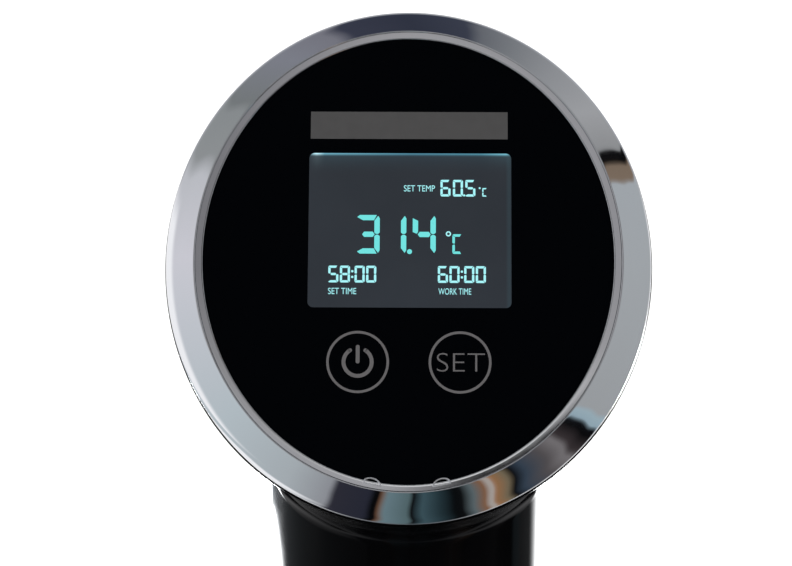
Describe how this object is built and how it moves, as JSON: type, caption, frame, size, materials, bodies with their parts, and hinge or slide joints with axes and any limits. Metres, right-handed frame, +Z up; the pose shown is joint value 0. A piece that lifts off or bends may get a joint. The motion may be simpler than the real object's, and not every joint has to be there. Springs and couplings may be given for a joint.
{
  "type": "sous vide circulator",
  "caption": "Stick-shaped immersion heater and stirrer with a tilted round touch display, a steel sleeve over its coil and a spring clip that holds it on a pot's wall.",
  "frame": {"origin": "centre of the bottom cap's flat underside, on the stick's axis", "axes": "+Z up along the stick, -Y towards the user whom the tilted display faces, +Y out of the back where the clip holds the pot's wall"},
  "size_m": [0.0982, 0.1043, 0.3799],
  "materials": {
    "black_gloss": "polished black moulded plastic",
    "black_satin": "fine-grained black moulded plastic",
    "chrome": "bright chrome plating on plastic",
    "satin_metal": "satin plated trim",
    "stainless": "brushed stainless steel",
    "lens_black": "black-backed glossy touch panel",
    "lcd": "dark glass of the segment display",
    "white_plastic": "white engineering plastic",
    "board_green": "green solder mask",
    "rubber": "black rubber",
    "steel": "plated steel",
    "screw_steel": "zinc-plated steel",
    "laminations": "stacked steel laminations",
    "aluminium": "plain aluminium"
  },
  "bodies": {
    "stick": {"main_housing": "black_gloss", "rear_cover": "black_gloss", "cover_screw_1": "screw_steel", "cover_screw_2": "screw_steel", "cord_gland": "rubber", "bezel_ring": "chrome", "lens_trim": "satin_metal", "front_lens": "lens_black", "lens_gasket": "rubber", "display_carrier": "black_satin", "lcd_panel": "lcd", "lcd_backlight": "white_plastic", "control_board": "board_green", "board_screw_1": "screw_steel", "board_screw_2": "screw_steel", "touch_spring_power": "screw_steel", "touch_spring_set": "screw_steel", "buzzer": "black_satin", "collar_ring": "chrome", "heater_flange": "stainless", "sleeve_seal": "rubber", "shaft_seal": "rubber", "heater_coil": "stainless", "temperature_probe": "stainless", "level_probe_low": "stainless", "level_probe_high": "stainless", "motor_mount": "aluminium", "flange_screw_1": "screw_steel", "flange_screw_2": "screw_steel", "flange_screw_3": "screw_steel", "motor_can": "steel", "motor_stator": "laminations", "motor_end_cap": "black_satin", "lower_bearing": "steel", "upper_bearing": "steel", "shaft_guide": "stainless", "lower_bush": "white_plastic", "power_board": "board_green", "transformer": "black_satin", "relay": "white_plastic", "filter_capacitor": "aluminium", "heatsink": "aluminium", "inner_chassis": "black_satin", "display_harness": "rubber", "clip_bracket": "black_satin", "bracket_screw_1": "screw_steel", "bracket_screw_2": "screw_steel", "clip_pin": "screw_steel", "clip_spring": "screw_steel", "wall_pad": "rubber"},
    "pump": {"motor_rotor": "laminations", "drive_shaft": "stainless", "cooling_fan": "black_satin", "impeller": "black_satin"},
    "clip": {"clip_lever": "black_satin", "jaw_pad": "rubber"},
    "sleeve": {"sleeve": "stainless"},
    "cap": {"bottom_cap": "black_satin"}
  },
  "joints": [
    {"name": "pump_spin", "type": "hinge", "parent": "stick", "child": "pump", "pos_m": [0, 0, 0.02], "axis": [0, 0, 1], "continuous": true},
    {"name": "clip_pivot", "type": "hinge", "parent": "stick", "child": "clip", "pos_m": [0, 0.043, 0.241], "axis": [1, 0, 0], "range_deg": [0, 20], "stiffness_Nm_per_rad": 1.2, "springref_deg": -17.19, "deforming": ["clip_spring"]},
    {"name": "sleeve_slide", "type": "slide", "parent": "stick", "child": "sleeve", "axis": [0, 0, -1], "range_m": [0, 0.165]},
    {"name": "cap_twist", "type": "hinge", "parent": "sleeve", "child": "cap", "pos_m": [0, 0, 0.02], "axis": [0, 0, 1], "range_deg": [0, 25]}
  ]
}
